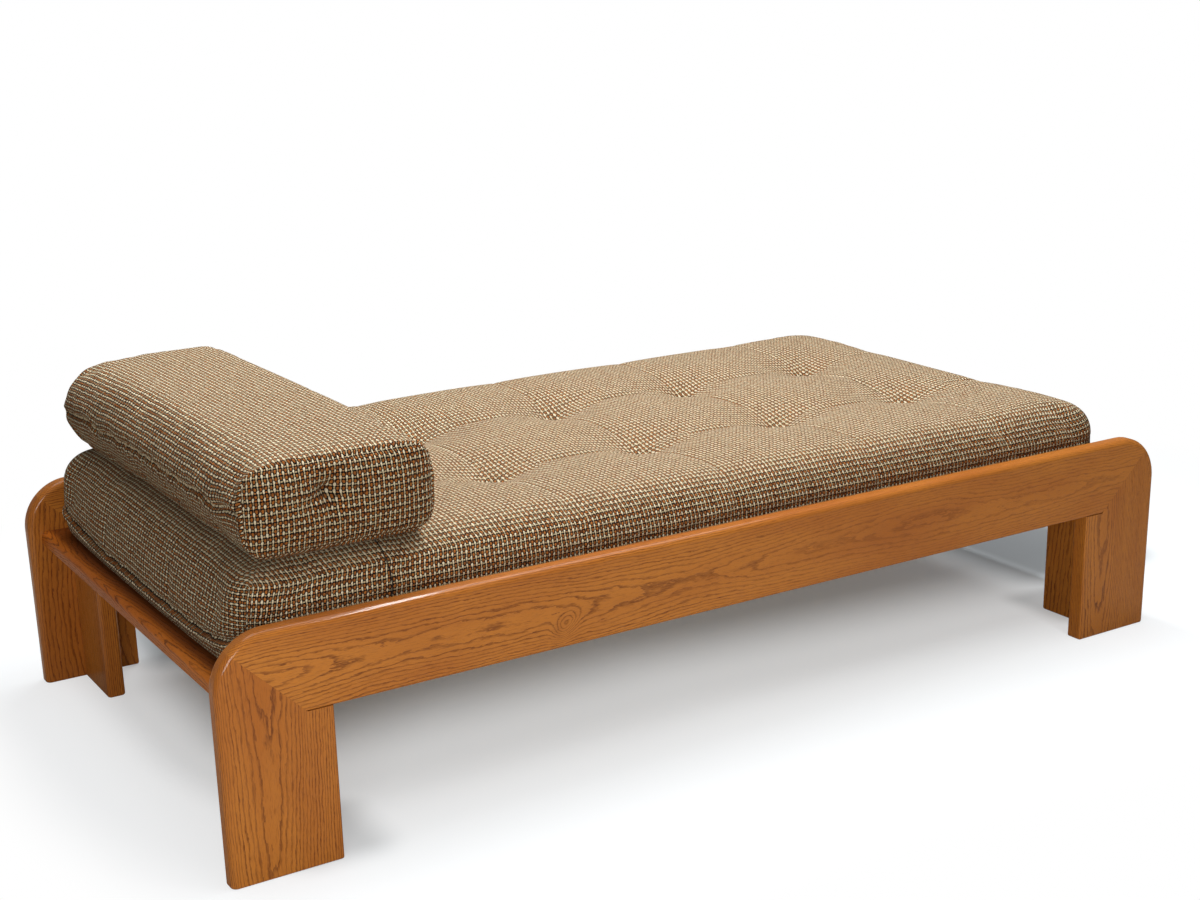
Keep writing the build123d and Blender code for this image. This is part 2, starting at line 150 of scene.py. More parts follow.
# ==== node graphs ====
class Graph:
    """Short calls for one node tree."""

    def __init__(self, tree):
        self.tree = tree

    def node(self, kind, **settings):
        made = self.tree.nodes.new(kind)
        for name, value in settings.items():
            setattr(made, name, value)
        return made

    def feed(self, socket, value):
        """Link a socket's value, or set a plain one."""
        if isinstance(value, bpy.types.NodeSocket):
            self.tree.links.new(value, socket)
        elif value is not None:
            socket.default_value = value

    def math(self, operation, a, b=None):
        made = self.node("ShaderNodeMath", operation=operation)
        for socket, value in zip(made.inputs, (a, b)):
            self.feed(socket, value)
        return made.outputs[0]

    def add(self, a, b):
        return self.math("ADD", a, b)

    def less(self, a, b):
        return self.math("SUBTRACT", a, b)

    def times(self, a, b):
        return self.math("MULTIPLY", a, b)

    def step(self, value, low, high, low_out=0.0, high_out=1.0):
        """Smooth step of a value from low to high."""
        made = self.node("ShaderNodeMapRange", interpolation_type="SMOOTHSTEP")
        for socket, v in zip(made.inputs, (value, low, high, low_out, high_out)):
            self.feed(socket, v)
        return made.outputs[0]

    def scaled(self, vector, factors):
        made = self.node("ShaderNodeVectorMath", operation="MULTIPLY")
        self.feed(made.inputs[0], vector)
        self.feed(made.inputs[1], factors)
        return made.outputs[0]

    def noise(self, vector, scale, detail=2.0, roughness=0.5):
        made = self.node("ShaderNodeTexNoise")
        self.feed(made.inputs["Vector"], vector)
        made.inputs["Scale"].default_value = scale
        made.inputs["Detail"].default_value = detail
        made.inputs["Roughness"].default_value = roughness
        return made.outputs["Fac"]

    def speckle(self, vector):
        """One random value for each whole-number vector."""
        made = self.node("ShaderNodeTexWhiteNoise")
        self.feed(made.inputs["Vector"], vector)
        return made.outputs["Value"]

    def split(self, vector):
        made = self.node("ShaderNodeSeparateXYZ")
        self.feed(made.inputs[0], vector)
        return made.outputs

    def join(self, x, y, z=0.0):
        made = self.node("ShaderNodeCombineXYZ")
        for socket, value in zip(made.inputs, (x, y, z)):
            self.feed(socket, value)
        return made.outputs[0]

    def mix(self, factor, a, b):
        """Colour a turning to colour b."""
        made = self.node("ShaderNodeMix", data_type="RGBA")
        self.feed(made.inputs["Factor"], factor)
        self.feed(made.inputs["A"], a)
        self.feed(made.inputs["B"], b)
        return made.outputs["Result"]

    def group(self, tree, **inputs):
        """Place a node group; input names use _ for spaces."""
        made = self.node("ShaderNodeGroup", node_tree=tree)
        for name, value in inputs.items():
            self.feed(made.inputs[name.replace("_", " ")], value)
        return made.outputs


def colour(red, green, blue):
    """Linear colour from 0 to 255 screen values."""
    screen = np.array([red, green, blue]) / 255.0
    linear = np.where(screen <= 0.04045, screen / 12.92, ((screen + 0.055) / 1.055) ** 2.4)
    return (*linear.tolist(), 1.0)


def new_group(name, inputs, outputs):
    """Empty node group with named sockets: (graph, inputs, group output node)."""
    tree = bpy.data.node_groups.new(name, "ShaderNodeTree")
    kinds = {"value": "NodeSocketFloat", "vector": "NodeSocketVector", "colour": "NodeSocketColor"}
    for direction, sockets in (("INPUT", inputs), ("OUTPUT", outputs)):
        for label, kind in sockets.items():
            tree.interface.new_socket(label, in_out=direction, socket_type=kinds[kind])
    graph = Graph(tree)
    return graph, graph.node("NodeGroupInput").outputs, graph.node("NodeGroupOutput").inputs


def new_material(name):
    """Material with one Principled shader: (material, graph, shader inputs)."""
    material = bpy.data.materials.new(name)
    material.use_nodes = True
    graph = Graph(material.node_tree)
    shader = material.node_tree.nodes["Principled BSDF"]
    return material, graph, shader.inputs


def bumped(graph, height, distance):
    """Normal from a height of 0 to 1 that stands for a distance in metres."""
    bump = graph.node("ShaderNodeBump")
    graph.feed(bump.inputs["Height"], height)
    bump.inputs["Strength"].default_value = 1.0
    bump.inputs["Distance"].default_value = distance
    return bump.outputs["Normal"]


# ==== oak ====
def make_wood_grain():
    """Flat-sawn timber.

    Rings are shells of even thickness round a pith that wanders behind the face, so that
    they show as long arches; a knot lifts them locally into an eye.  Pores are short dark
    dashes that crowd into the dark start of each ring.  Plainer weakens the rings of the
    piece's far half.  The colour is also turned toward the dark tone as a painted shade,
    by the given amount where the given mask is high.
    """
    graph, given, out = new_group(
        "wood_grain",
        {
            "Place": "vector",
            "Ring": "value",
            "Wander": "value",
            "Pith": "value",
            "Swing": "value",
            "Knot along": "value",
            "Knot across": "value",
            "Knot lift": "value",
            "Plainer": "value",
            "Upward": "value",
            "PaintedShade": "value",
            "Pale": "colour",
            "Warm": "colour",
            "Dark": "colour",
        },
        {"Color": "colour", "Roughness": "value", "Height": "value"},
    )
    place = given["Place"]
    along, across, through = graph.split(place)
    slow = graph.noise(graph.scaled(place, (1.3, 6.0, 6.0)), 1.0, 2.0)
    wander = graph.times(graph.less(slow, 0.5), given["Wander"])
    swing_noise = graph.noise(graph.scaled(place, (1.7, 0.6, 0.6)), 1.0, 1.0)
    swing = graph.times(graph.less(swing_noise, 0.5), given["Swing"])
    knot_along = graph.less(along, given["Knot along"])
    knot_across = graph.less(across, given["Knot across"])
    knot_x = graph.math("DIVIDE", graph.add(knot_along, knot_across), 0.036)
    knot_y = graph.math("DIVIDE", graph.less(knot_across, knot_along), 0.023)
    knot_far = graph.add(graph.times(knot_x, knot_x), graph.times(knot_y, knot_y))
    knot = graph.math("EXPONENT", graph.times(knot_far, -1.0))
    side = graph.add(across, wander)
    depth = graph.add(graph.add(through, given["Pith"]), swing)
    reach = graph.math("SQRT", graph.add(graph.times(side, side), graph.times(depth, depth)))
    shake = graph.noise(graph.scaled(place, (18.0, 80.0, 80.0)), 1.0, 4.0, 0.64)
    reach = graph.add(reach, graph.times(graph.less(shake, 0.5), 0.0070))
    reach = graph.add(reach, graph.times(knot, given["Knot lift"]))
    rings = graph.math("DIVIDE", reach, given["Ring"])
    part = graph.math("FRACT", rings)
    fade = graph.step(part, 0.05, 0.38, 1.0, 0.0)
    start = graph.step(part, 0.92, 1.0)
    line = graph.math("MAXIMUM", fade, start)
    ring_number = graph.math("FLOOR", rings)
    strength = graph.speckle(graph.join(ring_number, 3.0))
    strength = graph.add(graph.times(strength, 0.5), 0.5)
    dashes = graph.noise(graph.scaled(place, (60.0, 850.0, 850.0)), 1.0, 1.0, 0.5)
    dashes = graph.step(dashes, 0.46, 0.56)
    line = graph.times(graph.times(line, strength), graph.add(graph.times(dashes, 0.35), 0.65))
    plainer = graph.times(graph.step(along, -0.30, 0.25), given["Plainer"])
    line = graph.times(line, graph.less(1.0, plainer))
    pores = graph.noise(graph.scaled(place, (80.0, 1100.0, 1100.0)), 1.0, 1.0)
    pores = graph.step(pores, 0.55, 0.66)
    pores = graph.times(pores, graph.add(graph.times(line, 0.6), 0.38))
    patch = graph.noise(graph.scaled(place, (2.2, 9.0, 9.0)), 1.0, 3.0)
    base = graph.mix(graph.step(patch, 0.3, 0.72), given["Pale"], given["Warm"])
    toned = graph.mix(graph.times(line, 0.95), base, given["Dark"])
    toned = graph.mix(graph.times(pores, 0.55), toned, given["Dark"])
    eye = graph.step(knot_along, -0.024, 0.002, 1.0, 0.0)
    eye = graph.times(graph.step(knot, 0.05, 0.75), eye)
    toned = graph.mix(graph.times(eye, 0.30), toned, given["Dark"])
    # painted shade: where the mask is high the colour turns toward the dark tone
    painted_shade = graph.step(given["Upward"], 0.30, 0.92, 0.0, given["PaintedShade"])
    graph.feed(out["Color"], graph.mix(painted_shade, toned, given["Dark"]))
    graph.feed(out["Roughness"], graph.add(graph.times(pores, 0.25), graph.times(patch, 0.12)))
    graph.feed(out["Height"], graph.less(1.0, graph.math("MAXIMUM", pores, line)))
    return graph.tree


def wood(name, grain, order, offset, roughness, coat, bump, sheltered=None, **values):
    """Timber material; order says which object axes run along, across and through it.

    Faces that look upward are darkened by painted shade.  Where two X distances are given,
    the painted darkening grows between them instead, as a painted shadow of the mattress.
    """
    material, graph, shader = new_material(name)
    given = graph.node("ShaderNodeTexCoord").outputs
    axes = dict(zip("xyz", graph.split(given["Object"])))
    # mask of the painted shade; on the end boards it becomes a painted shadow that grows inward
    upward = graph.split(given["Normal"])[2]
    if sheltered:
        upward = graph.step(graph.math("ABSOLUTE", axes["x"]), *sheltered)
    turned = graph.join(*[axes[letter] for letter in order])
    shift = graph.node("ShaderNodeVectorMath", operation="ADD")
    graph.feed(shift.inputs[0], turned)
    graph.feed(shift.inputs[1], offset)
    made = graph.group(grain, Place=shift.outputs[0], Upward=upward, **values)
    graph.feed(shader["Base Color"], made["Color"])
    graph.feed(shader["Roughness"], graph.add(made["Roughness"], roughness))
    graph.feed(shader["Normal"], bumped(graph, made["Height"], bump))
    shader["Coat Weight"].default_value = coat
    shader["Coat Roughness"].default_value = 0.08
    shader["Specular IOR Level"].default_value = 0.10
    return material


# ==== tweed ====
def make_tweed_weave():
    """Chunky tweed of short knots.

    Each repeat has four knots: a pale one on the strand, a darker one where the strand dips,
    a pale bridge to the next strand, and a rust one.  A knot is half an ellipsoid, and what no
    knot covers is the dark ground, painted near black for the shade deep in the gaps between
    the knots.  The top is painted paler: as far as the given mask allows, the strands spread
    and pale pile lies between them, in place of part of the light from overhead and of the
    gaps that the strands hide when seen from low.
    """
    graph, given, out = new_group(
        "tweed_weave",
        {
            "Cloth": "vector",
            "Brushed": "value",
            "Row pitch": "value",
            "Cross pitch": "value",
            "Cream": "colour",
            "Stone": "colour",
            "Rust": "colour",
            "Brown": "colour",
            "Ground": "colour",
            "Pile": "colour",
        },
        {"Color": "colour", "Height": "value"},
    )
    cloth = given["Cloth"]
    sway = graph.times(graph.less(graph.noise(cloth, 45.0, 2.0), 0.5), 0.0034)
    jitter = graph.times(graph.less(graph.noise(cloth, 260.0, 1.0), 0.5), 0.0022)
    across, along, _ = graph.split(cloth)
    rows = graph.math("DIVIDE", graph.add(across, graph.add(sway, jitter)), given["Row pitch"])
    steps = graph.math("DIVIDE", graph.less(along, sway), given["Cross pitch"])
    steps = graph.add(steps, graph.math("DIVIDE", jitter, given["Cross pitch"]))
    fibre = graph.noise(cloth, 1100.0, 2.0, 0.6)

    def away(value, middle, half):
        """Signed distance from the nearest repeat of a middle, in half-widths."""
        turned = graph.math("FRACT", graph.less(value, middle - 0.5))
        return graph.math("DIVIDE", graph.less(turned, 0.5), half)

    def knot(mid_a, half_a, mid_b, half_b):
        """Half-ellipsoid height about a middle, 0 outside it."""
        off_a = away(rows, mid_a, half_a)
        off_b = away(steps, mid_b, half_b)
        far = graph.add(graph.times(off_a, off_a), graph.times(off_b, off_b))
        return graph.math("SQRT", graph.math("MAXIMUM", graph.less(1.0, far), 0.0))

    def chance(seed):
        """Random value for this repeat of the pattern."""
        place = graph.join(graph.math("FLOOR", rows), graph.math("FLOOR", steps), seed)
        return graph.speckle(place)

    strand = knot(0.24, 0.26, 0.28, 0.38)
    dip = graph.times(knot(0.24, 0.16, 0.79, 0.21), 0.72)
    bridge = graph.times(knot(0.73, 0.25, 0.18, 0.13), 0.7)
    patch = graph.times(knot(0.73, 0.26, 0.66, 0.27), 0.85)
    pale = graph.mix(graph.times(chance(1.0), 0.5), given["Cream"], given["Stone"])
    dip_tone = graph.mix(graph.step(chance(2.0), 0.15, 0.85), given["Brown"], given["Stone"])
    bridge_tone = graph.mix(graph.step(chance(3.0), 0.3, 0.9), given["Stone"], given["Rust"])
    patch_tone = graph.mix(graph.times(chance(4.0), 0.6), given["Rust"], given["Brown"])
    tone = graph.mix(graph.step(dip, 0.10, 0.42), given["Ground"], dip_tone)
    tone = graph.mix(graph.step(patch, 0.22, 0.44), tone, patch_tone)
    tone = graph.mix(graph.step(bridge, 0.20, 0.42), tone, bridge_tone)
    # painted light: the top is painted paler with pale pile and spread strands
    tone = graph.mix(graph.times(given["Brushed"], 0.14), tone, given["Pile"])
    spread = graph.add(strand, graph.times(given["Brushed"], 0.40))
    tone = graph.mix(graph.step(spread, 0.55, 0.75), tone, pale)
    shade = graph.mix(graph.step(fibre, 0.32, 0.68), (0.60, 0.57, 0.53, 1.0), (1.0, 1.0, 1.0, 1.0))
    product = graph.node("ShaderNodeMix", data_type="RGBA", blend_type="MULTIPLY")
    product.inputs["Factor"].default_value = 1.0
    graph.feed(product.inputs["A"], tone)
    graph.feed(product.inputs["B"], shade)
    high = graph.math("MAXIMUM", strand, dip)
    high = graph.math("MAXIMUM", high, graph.math("MAXIMUM", bridge, patch))
    graph.feed(out["Color"], product.outputs["Result"])
    graph.feed(out["Height"], graph.add(high, graph.times(fibre, 0.22)))
    return graph.tree


def tweed(name, weave, painted_gap_strength=0.0):
    """Tweed material on a piece's own cloth map, which is in metres.

    The last argument is the strength of a thin dark line painted over the front edge: the
    painted shade of a gap between two strands, with no groove in the mesh.
    """
    material, graph, shader = new_material(name)
    cloth = graph.node("ShaderNodeUVMap", uv_map="cloth").outputs["UV"]
    # how far each point faces up: the mask of the tweed's painted paler top
    upward = graph.node("ShaderNodeAttribute", attribute_name="upward").outputs["Fac"]
    made = graph.group(
        weave,
        Cloth=cloth,
        Brushed=upward,
        Row_pitch=row_pitch,
        Cross_pitch=cross_pitch,
        Cream=colour(246, 234, 204),
        Stone=colour(214, 192, 150),
        Rust=colour(188, 112, 48),
        Brown=colour(116, 68, 32),
        # painted shade: the ground is near black for the shade deep in the gaps between knots
        Ground=colour(13, 8, 5),
        Pile=colour(214, 188, 150),
    )
    toned = made["Color"]
    if painted_gap_strength:
        place = graph.node("ShaderNodeTexCoord").outputs["Object"]
        x, y, _ = graph.split(place)
        sway = graph.times(graph.less(graph.noise(place, 30.0, 1.0), 0.5), 0.006)
        off = graph.math("ABSOLUTE", graph.less(graph.add(x, sway), painted_gap_x))
        at_front = graph.step(y, -0.32, -0.31, 1.0, 0.0)
        # painted shade in a gap between two strands over the front edge
        painted_gap_line = graph.times(graph.step(off, 0.0009, 0.0018, painted_gap_strength, 0.0), at_front)
        toned = graph.mix(painted_gap_line, toned, colour(14, 8, 5))
    graph.feed(shader["Base Color"], toned)
    graph.feed(shader["Normal"], bumped(graph, made["Height"], 0.0030))
    shader["Roughness"].default_value = 0.92
    shader["Specular IOR Level"].default_value = 0.15
    shader["Sheen Weight"].default_value = 0.06
    shader["Sheen Roughness"].default_value = 0.5
    shader["Sheen Tint"].default_value = colour(255, 236, 202)
    return material


def sewing_thread(name):
    """Pale twisted sewing thread."""
    material, graph, shader = new_material(name)
    place = graph.node("ShaderNodeTexCoord").outputs["Object"]
    twist = graph.noise(place, 2600.0, 1.0)
    tone = graph.mix(twist, colour(178, 154, 114), colour(214, 194, 154))
    graph.feed(shader["Base Color"], tone)
    graph.feed(shader["Normal"], bumped(graph, twist, 0.0003))
    shader["Roughness"].default_value = 0.8
    shader["Sheen Weight"].default_value = 0.3
    return material


# ==== cushion meshes ====
def lines(low, high, step, extra=()):
    """Lattice lines about a step apart, with extra ones and none closer than 3 mm to those."""
    even = np.linspace(low, high, max(2, round((high - low) / step) + 1))
    extra = np.array([e for e in extra if low < e < high])
    if extra.size:
        near = np.abs(even[1:-1, None] - extra[None, :]).min(axis=1) < 0.003
        even = np.concatenate([even[:1], even[1:-1][~near], even[-1:]])
    return np.unique(np.concatenate([even, extra]))


def box_lattice(xs, ys, zs):
    """Closed lattice over a box.

    Returns corner points, four-sided faces pointing outwards, and which of the six sides
    (axis, end) each face is on.  Points are numbered by their whole-number lattice place.
    """
    grids = (xs, ys, zs)
    counts = [g.size for g in grids]
    keys, faces, sides = [], [], []
    for axis in range(3):
        u, v = [k for k in range(3) if k != axis]
        iu, iv = np.meshgrid(np.arange(counts[u] - 1), np.arange(counts[v] - 1), indexing="ij")
        iu, iv = iu.ravel(), iv.ravel()
        for end in (0, 1):
            corners = []
            for du, dv in ((0, 0), (1, 0), (1, 1), (0, 1)):
                place = np.zeros((iu.size, 3), int)
                place[:, axis] = end * (counts[axis] - 1)
                place[:, u] = iu + du
                place[:, v] = iv + dv
                corners.append(place @ np.array([1, 1000, 1000000]))
            outward = (end == 1) == (axis != 1)
            quad = np.stack(corners if outward else corners[::-1], axis=1)
            faces.append(quad)
            sides.append(np.tile([axis, end], (iu.size, 1)))
    faces = np.concatenate(faces)
    sides = np.concatenate(sides)
    keys, index = np.unique(faces, return_inverse=True)
    spots = np.stack([keys % 1000, keys // 1000 % 1000, keys // 1000000], axis=1)
    points = np.stack([grids[k][spots[:, k]] for k in range(3)], axis=1)
    return points, index.reshape(faces.shape), sides


def mesh_object(name, points, faces, cloth=None):
    """Mesh object at the origin; cloth gives a map point for every face corner."""
    mesh = bpy.data.meshes.new(name)
    mesh.from_pydata(points.tolist(), [], faces.tolist())
    if cloth is not None:
        layer = mesh.uv_layers.new(name="cloth")
        layer.data.foreach_set("uv", cloth.reshape(-1).astype(np.float32))
    mesh.polygons.foreach_set("use_smooth", np.ones(len(faces), bool))
    mesh.validate()
    obj = bpy.data.objects.new(name, mesh)
    bpy.context.collection.objects.link(obj)
    return obj


def subdivide(obj):
    """One level of subdivision."""
    smooth = obj.modifiers.new("smooth", "SUBSURF")
    smooth.levels = 1
    smooth.render_levels = 1


def round_plan(p, half, radius):
    """Squares turned to rounded squares.

    In the corner blocks, a point keeps its larger offset from the corner's centre as its
    distance from it.  The radius may differ between points.
    """
    core = half - np.reshape(radius, (-1, 1))
    fixed = np.clip(p, -core, core)
    off = p - fixed
    larger = np.abs(off).max(axis=1)
    length = np.maximum(np.linalg.norm(off, axis=1), 1e-9)
    return fixed + off * (larger / length)[:, None]


def bell(distance, reach):
    """Bell curve of a distance."""
    return np.exp(-((distance / reach) ** 2))


def tent(distance, reach):
    """Soft-tipped exponential fall from 1."""
    return np.exp(-(np.sqrt(distance**2 + (0.25 * reach) ** 2) / reach - 0.25))


def smooth_noise(x, y, seed, waves=14, low=3.0, high=11.0):
    """Sum of plane waves with random directions and phases, about -1 to 1."""
    random = np.random.default_rng(seed)
    turn = random.uniform(0, 2 * np.pi, waves)
    number = random.uniform(low, high, waves)
    phase = random.uniform(0, 2 * np.pi, waves)
    place = x[:, None] * np.cos(turn) * number + y[:, None] * np.sin(turn) * number
    return np.cos(place + phase).sum(axis=1) / np.sqrt(waves)


def settle(obj, held, limit, growth):
    """Fill a cushion with air under Blender's cloth, held where its weight is 1.

    The cloth is cut larger by growth, so that it folds; no point moves past the limit.
    """
    group = obj.vertex_groups.new(name="held")
    for weight in np.unique(held):
        group.add(np.flatnonzero(held == weight).tolist(), float(weight), "REPLACE")
    cloth = obj.modifiers.new("filling", "CLOTH")
    settings = cloth.settings
    settings.quality = 7
    settings.mass = 0.3
    settings.tension_stiffness = 25
    settings.compression_stiffness = 25
    settings.shear_stiffness = 6
    settings.bending_stiffness = 0.4
    settings.shrink_min = -growth
    settings.use_pressure = True
    settings.uniform_pressure_force = 4
    settings.effector_weights.gravity = 0
    settings.vertex_group_mass = "held"
    cloth.collision_settings.use_collision = False
    scene = bpy.context.scene
    for moment in range(1, 21):
        scene.frame_set(moment)
    evaluated = obj.evaluated_get(bpy.context.evaluated_depsgraph_get())
    count = len(obj.data.vertices)
    after = np.empty(count * 3, np.float32)
    evaluated.data.vertices.foreach_get("co", after)
    before = np.empty(count * 3, np.float32)
    obj.data.vertices.foreach_get("co", before)
    obj.modifiers.remove(cloth)
    obj.vertex_groups.clear()
    scene.frame_set(1)
    move = (after - before).reshape(-1, 3)
    length = np.maximum(np.linalg.norm(move, axis=1), 1e-9)
    capped = limit * np.tanh(length / limit) / length
    settled = before.reshape(-1, 3) + move * capped[:, None]
    obj.data.vertices.foreach_set("co", settled.reshape(-1).astype(np.float32))
    obj.data.update()


def vertex_places(obj):
    """Vertex places of a mesh object as an array."""
    places = np.empty(len(obj.data.vertices) * 3, np.float32)
    obj.data.vertices.foreach_get("co", places)
    return places.reshape(-1, 3).astype(float)


def place_vertices(obj, places):
    """Move the vertices of a mesh object."""
    obj.data.vertices.foreach_set("co", places.reshape(-1).astype(np.float32))
    obj.data.update()


def mark_upward(obj):
    """Store how far each vertex faces up, as a smooth step of its normal's height: the mask by
    which the tweed's top is painted paler.
    """
    normals = np.empty(len(obj.data.vertices) * 3, np.float32)
    obj.data.vertices.foreach_get("normal", normals)
    part = np.clip((normals.reshape(-1, 3)[:, 2] - 0.66) / 0.33, 0.0, 1.0)
    layer = obj.data.attributes.new("upward", "FLOAT", "POINT")
    layer.data.foreach_set("value", (part**2 * (3 - 2 * part)).astype(np.float32))


def seam_height(y):
    """Height of the closing seam above the mattress base: it rises towards both corners."""
    return closing_seam_height - seam_dip + seam_rise * np.abs(y / seam_half_length) ** 4


def mattress():
    """Mattress: a slab with rounded edges, quilted by its tufts.

    Side wall and top edge share one arc in section.  Every tuft column is a crease with a
    soft valley, every tuft a narrow tent-shaped hollow inside a wide shallow one, and the
    cloth is then filled under pressure with the tufts and the base held.
    """
    low, high = np.array(mattress_low), np.array(mattress_high)
    half = (high - low) / 2
    middle = (high + low) / 2
    columns = tuft_first_x + tuft_spacing * np.arange(tuft_columns) - middle[0]
    rows = np.array([-0.5, 0.5]) * tuft_row_spacing
    near_crease = (columns[:, None] + np.array([-0.007, -0.003, 0.0, 0.003, 0.007])).ravel()
    near_tuft = (rows[:, None] + np.array([-0.007, 0.0, 0.007])).ravel()
    seam_z = closing_seam_height - half[2]
    near_rail = rail_contact - middle[2] + np.array([-0.006, 0.0, 0.005, 0.011])
    near_seam = seam_z + np.array([-0.020, -0.012, -0.007, -0.0035, 0.0, 0.004, 0.008, 0.014])
    points, faces, sides = box_lattice(
        lines(-half[0], half[0], lattice_step, near_crease),
        lines(-half[1], half[1], lattice_step, near_tuft),
        lines(-half[2], half[2], lattice_step, np.concatenate([near_seam, near_rail])),
    )
    flat = points.copy()
    plan_half = half[:2]
    inside = np.min(plan_half - np.abs(points[:, :2]), axis=1)
    for end, radius in ((1, mattress_top_round), (-1, mattress_base_round)):
        on_cap = np.isclose(points[:, 2], end * half[2])
        below = half[2] - end * points[:, 2]
        run = np.where(on_cap, -inside, below)
        in_arc = (run < radius) & (run > -radius)
        turn = (np.clip(run, -radius, radius) + radius) / (2 * radius) * np.pi / 2
        inset = radius - radius * np.sin(turn)
        drop = radius - radius * np.cos(turn)
        old = np.where(on_cap, inside, 0.0)
        scale = (plan_half - inset[:, None]) / (plan_half - old[:, None])
        flat[:, :2] = np.where(in_arc[:, None], points[:, :2] * scale, flat[:, :2])
        flat[:, 2] = np.where(in_arc, end * (half[2] - drop), flat[:, 2])
    flat[:, :2] = round_plan(flat[:, :2], plan_half, mattress_plan_radius)
    shaped = flat.copy()
    x, y, z = flat.T
    upper = np.clip((z + 0.3 * half[2]) / (1.3 * half[2]), 0.0, 1.0) ** 1.5
    crown = (1 - np.abs(x / half[0]) ** 4) * (1 - np.abs(y / half[1]) ** 4)
    lift = mattress_crown * crown + top_unevenness * smooth_noise(x, y, seed=3)
    for row in rows:
        lift = lift - row_valley_depth * bell(y - row, valley_reach) * crown
    for column in columns:
        lift = lift - valley_depth * bell(x - column, valley_reach) * crown
        lift = lift - crease_depth * tent(np.abs(x - column), crease_reach) * (0.4 + 0.6 * crown)
        for row in rows:
            dx, dy = x - column, y - row
            far = np.hypot(dx, dy)
            angle = np.arctan2(dy, dx)
            lift = lift - tuft_depth * tent(far, tuft_reach)
            lift = lift - hollow_depth * bell(far, hollow_reach)
            folds = np.cos(5 * angle + 7 * column + 3 * row) + np.cos(2 * angle + 5 * column)
            lift = lift + fold_depth * folds * bell(far - fold_ring, fold_reach)
    shaped[:, 2] += lift * upper
    wall = np.clip((np.abs(y) - half[1] + 0.03) / 0.03, 0, 1) * np.clip((z + 0.02) / 0.03, 0, 1)
    for column, strength in zip(columns, edge_folds):
        fold = strength * crease_depth * tent(np.abs(x - column), crease_reach)
        shaped[:, 1] -= np.sign(y) * wall * fold
    cloth = cloth_map(points, faces, sides, half)
    obj = mesh_object("mattress_cushion", shaped + middle, faces, cloth)

    to_tuft = np.full(len(x), 9.0)
    for column in columns:
        for row in rows:
            to_tuft = np.minimum(to_tuft, np.hypot(x - column, y - row))
    to_crease = np.abs(x[:, None] - columns).min(axis=1)
    at_rail = (np.abs(y) > half[1] - 0.012) & (z + middle[2] < rail_contact)
    at_base = (z < seam_z - 0.002) | at_rail
    held = np.where((to_crease < 0.004) & (crown > 0.3), 0.15, 0.0)
    held = np.where((to_tuft < 0.006) | at_base, 1.0, held)
    settle(obj, held, limit=mattress_give, growth=mattress_growth)

    spots = vertex_places(obj)
    y, z = spots[:, 1], spots[:, 2] - mattress_low[2]
    at_end = np.clip((mattress_low[0] + 0.085 - spots[:, 0]) / 0.06, 0.0, 1.0)
    over = z - closing_seam_height
    ruffle = smooth_noise(y, 0 * y, seed=5, low=60, high=300)
    groove = seam_pinch * bell(over - 0.006, 0.0048) * (1 + 0.12 * ruffle)
    ridge = seam_ridge * bell(over + 0.002, 0.0040) * (1 + 0.20 * ruffle)
    under = seam_tuck * np.clip(-over / 0.030, 0.0, 1.0)
    spots[:, 0] += at_end * (groove - ridge + under + 0.0012 * ruffle * bell(over, 0.025))
    spots[:, 2] += at_end * (seam_height(y) - closing_seam_height) * bell(over, 0.030)
    widest = (mattress_low[1] - side_slack, mattress_high[1] + side_slack)
    spots[:, 1] = np.clip(spots[:, 1], *widest)
    sunk = spots[:, 2] < rail_contact
    spots[sunk, 1] = np.clip(spots[sunk, 1], mattress_low[1], mattress_high[1])
    at_side = np.clip((np.abs(spots[:, 1]) - half[1] + 0.030) / 0.020, 0.0, 1.0)
    tucked = np.clip((rail_contact + 0.010 - spots[:, 2]) / 0.010, 0.0, 1.0)
    spots[:, 1] -= np.sign(spots[:, 1]) * rail_gap * at_side * tucked
    place_vertices(obj, spots)
    mark_upward(obj)
    subdivide(obj)
    return obj


def cloth_map(points, faces, sides, half):
    """Cloth places in metres: the top's own X and Y, carried on down all four sides.

    Over the rounded top edge a place moves by the length of the arc.
    """
    radius = mattress_top_round

    def travel(run):
        """How far past the plan's edge the cloth has run, for a lattice point."""
        arc = (np.clip(run, -radius, radius) + radius) * np.pi / 4 - radius
        return arc + np.minimum(run + radius, 0.0) + np.maximum(run - radius, 0.0)

    p = points[faces]
    axis = sides[:, 0][:, None]
    end = (2 * sides[:, 1] - 1)[:, None]
    down = half[2] - p[..., 2]
    over_x = np.sign(p[..., 0]) * (half[0] + travel(np.abs(p[..., 0]) - half[0]))
    over_y = np.sign(p[..., 1]) * (half[1] + travel(np.abs(p[..., 1]) - half[1]))
    across = np.where(axis == 0, end * (half[0] + travel(down)), over_x)
    along = np.where(axis == 1, end * (half[1] + travel(down)), over_y)
    return np.stack([across, along], axis=-1)


